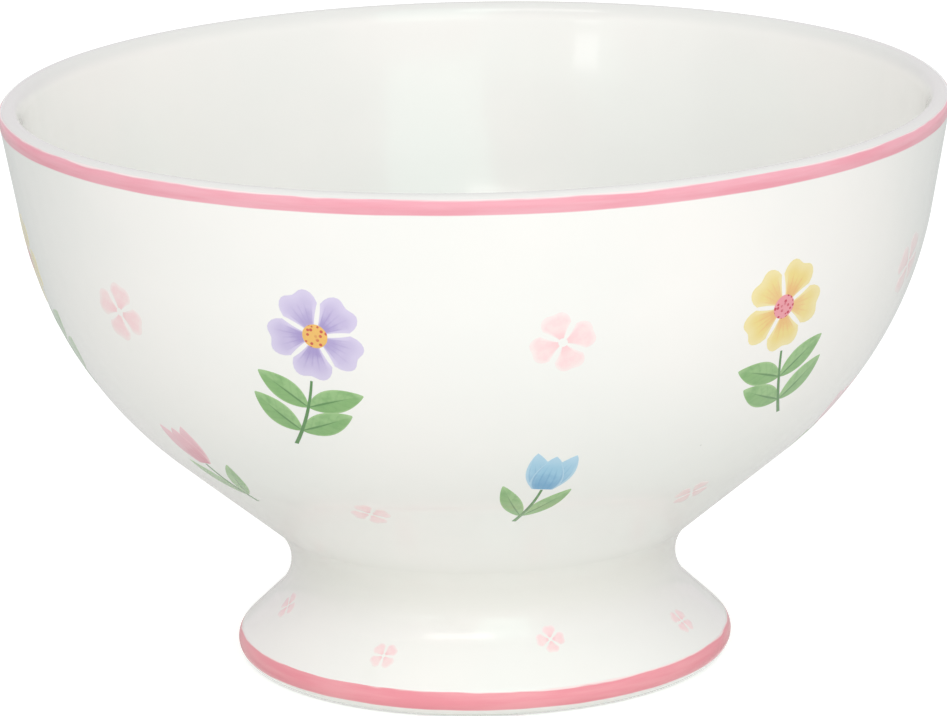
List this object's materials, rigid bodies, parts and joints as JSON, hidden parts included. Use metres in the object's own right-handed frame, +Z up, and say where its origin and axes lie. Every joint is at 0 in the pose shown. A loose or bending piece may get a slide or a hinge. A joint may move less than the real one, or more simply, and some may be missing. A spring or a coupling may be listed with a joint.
{
  "type": "footed bowl",
  "caption": "Round porcelain bowl with a rounded belly on a flared pedestal foot, pink enamel bands at the rim and foot and small flower sprigs, for serving food.",
  "frame": {"origin": "on the table under the middle of the standing ring", "axes": "+Z up along the axis of the bowl, -Y towards the viewer of the picture, +X to the viewer's right"},
  "size_m": [0.1506, 0.1506, 0.0915],
  "materials": {
    "porcelain": "clear gloss glaze on white porcelain",
    "slip": "fired slip, under the glaze",
    "rim_pink": "brushed enamel, gloss",
    "foot_pink": "brushed enamel, gloss",
    "petal_yellow": "printed enamel, gloss",
    "petal_lavender": "printed enamel, gloss",
    "petal_blue": "printed enamel, gloss",
    "petal_rose": "printed enamel, gloss",
    "eye_rose": "printed enamel, gloss",
    "eye_gold": "printed enamel, gloss",
    "leaf_green": "printed enamel, gloss"
  },
  "bodies": {
    "root": {"cup": "porcelain", "luting_slip": "slip", "pedestal_foot": "porcelain", "rim_band": "rim_pink", "foot_band": "foot_pink", "bloom_1_petals": "petal_yellow", "bloom_1_eye": "eye_rose", "bloom_1_leaves": "leaf_green", "bloom_2_petals": "petal_lavender", "bloom_2_eye": "eye_gold", "bloom_2_leaves": "leaf_green", "bloom_3_petals": "petal_yellow", "bloom_3_eye": "eye_rose", "bloom_3_leaves": "leaf_green", "bloom_4_petals": "petal_lavender", "bloom_4_eye": "eye_gold", "bloom_4_leaves": "leaf_green", "bloom_5_petals": "petal_yellow", "bloom_5_eye": "eye_rose", "bloom_5_leaves": "leaf_green", "bloom_6_petals": "petal_lavender", "bloom_6_eye": "eye_gold", "bloom_6_leaves": "leaf_green", "tulip_1_petals": "petal_blue", "tulip_1_leaves": "leaf_green", "tulip_2_petals": "petal_rose", "tulip_2_leaves": "leaf_green", "tulip_3_petals": "petal_blue", "tulip_3_leaves": "leaf_green", "tulip_4_petals": "petal_rose", "tulip_4_leaves": "leaf_green", "tulip_5_petals": "petal_blue", "tulip_5_leaves": "leaf_green", "tulip_6_petals": "petal_rose", "tulip_6_leaves": "leaf_green"}
  },
  "joints": []
}
